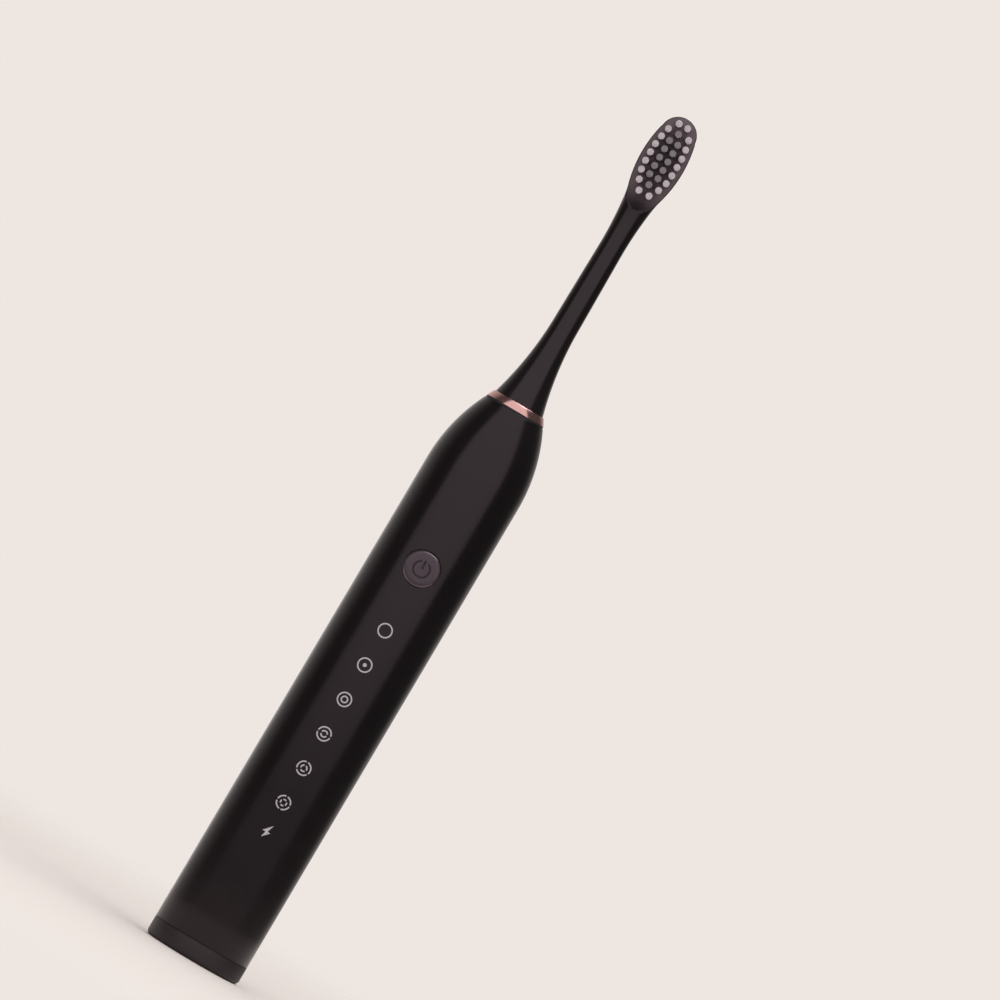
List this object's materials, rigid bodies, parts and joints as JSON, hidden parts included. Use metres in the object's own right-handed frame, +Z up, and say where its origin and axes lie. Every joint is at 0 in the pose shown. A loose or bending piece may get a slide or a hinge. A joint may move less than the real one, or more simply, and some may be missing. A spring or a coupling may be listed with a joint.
{
  "type": "electric toothbrush",
  "caption": "Sonic electric toothbrush: round handle with a power button, light-up mode marks and a charging socket in its base, and a push-on brush head with a metallic ring.",
  "frame": {"origin": "centre of the flat base face, at the mouth of the charging socket", "axes": "+Z up the brush from the base to the tip of the head; the button, the mode marks and the bristles face -Y; +X to the right as seen from the front"},
  "size_m": [0.0264, 0.0268, 0.245],
  "materials": {
    "handle_black": "satin soft-touch lacquer",
    "base_black": "fine matt texture",
    "mark_lens": "clear inlay, unlit",
    "button_grey": "satin",
    "rose_gold": "polished, anodised",
    "head_black": "satin gloss",
    "bristle_light": "nylon filament",
    "bristle_dark": "nylon filament",
    "anchor_brass": "stamped",
    "white_plastic": "moulded",
    "socket_plastic": "moulded acetal",
    "clear_plastic": "clear",
    "steel": "ground",
    "spring_steel": "bright",
    "magnet": "nickel plated",
    "laminated_iron": "laminated",
    "ferrite": "sintered",
    "copper": "enamelled winding",
    "sintered_bronze": "oil filled",
    "rubber_black": "matt",
    "board_green": "solder mask",
    "chip_black": "moulded epoxy",
    "led_white": "clear lens",
    "led_amber": "clear lens",
    "battery_wrap": "plastic sleeve",
    "foam": "closed cell foam"
  },
  "bodies": {
    "handle": {"handle_shell": "handle_black", "base_cap": "base_black", "base_seal": "rubber_black", "coil_bobbin": "white_plastic", "charge_coil": "copper", "ferrite_disc": "ferrite", "coil_leads": "copper", "chassis": "white_plastic", "battery": "battery_wrap", "battery_tab_top": "spring_steel", "battery_tab_bottom": "spring_steel", "battery_pad": "foam", "circuit_board": "board_green", "controller_chip": "chip_black", "power_chip": "chip_black", "mode_leds": "led_white", "charge_led": "led_amber", "light_guide": "clear_plastic", "board_screws": "steel", "mode_light_1": "mark_lens", "mode_light_2": "mark_lens", "mode_light_3": "mark_lens", "mode_light_4": "mark_lens", "mode_light_5": "mark_lens", "mode_light_6": "mark_lens", "charge_light": "mark_lens", "switch_body": "steel", "motor_can": "steel", "motor_rear_cap": "steel", "motor_front_cap": "steel", "rear_bearing": "sintered_bronze", "front_bearing": "sintered_bronze", "stator_core": "laminated_iron", "stator_coils": "copper", "motor_leads": "copper", "motor_cushion": "rubber_black", "nose_frame": "white_plastic", "shaft_seal": "rubber_black"},
    "drive": {"drive_shaft": "steel", "rotor_core": "laminated_iron", "rotor_magnets": "magnet"},
    "power_button": {"button_cap": "button_grey", "button_seal": "rubber_black", "switch_plunger": "anchor_brass"},
    "brush_head": {"head_body": "head_black", "head_ring": "rose_gold", "head_insert": "socket_plastic", "grip_spring": "spring_steel", "outer_tufts": "bristle_light", "inner_tufts": "bristle_dark", "tuft_anchors": "anchor_brass"}
  },
  "joints": [
    {"name": "drive_swing", "type": "hinge", "parent": "handle", "child": "drive", "pos_m": [0, 0, 0.12], "axis": [0, 0, 1], "range_deg": [-4.5, 4.5], "stiffness_Nm_per_rad": 0.3},
    {"name": "head_pull", "type": "slide", "parent": "drive", "child": "brush_head", "axis": [0, 0, 1], "range_m": [0, 0.024]},
    {"name": "button_press", "type": "slide", "parent": "handle", "child": "power_button", "axis": [0, 1, 0], "range_m": [0, 0.0005], "stiffness_N_per_m": 3000, "springref_m": -0.0001}
  ]
}
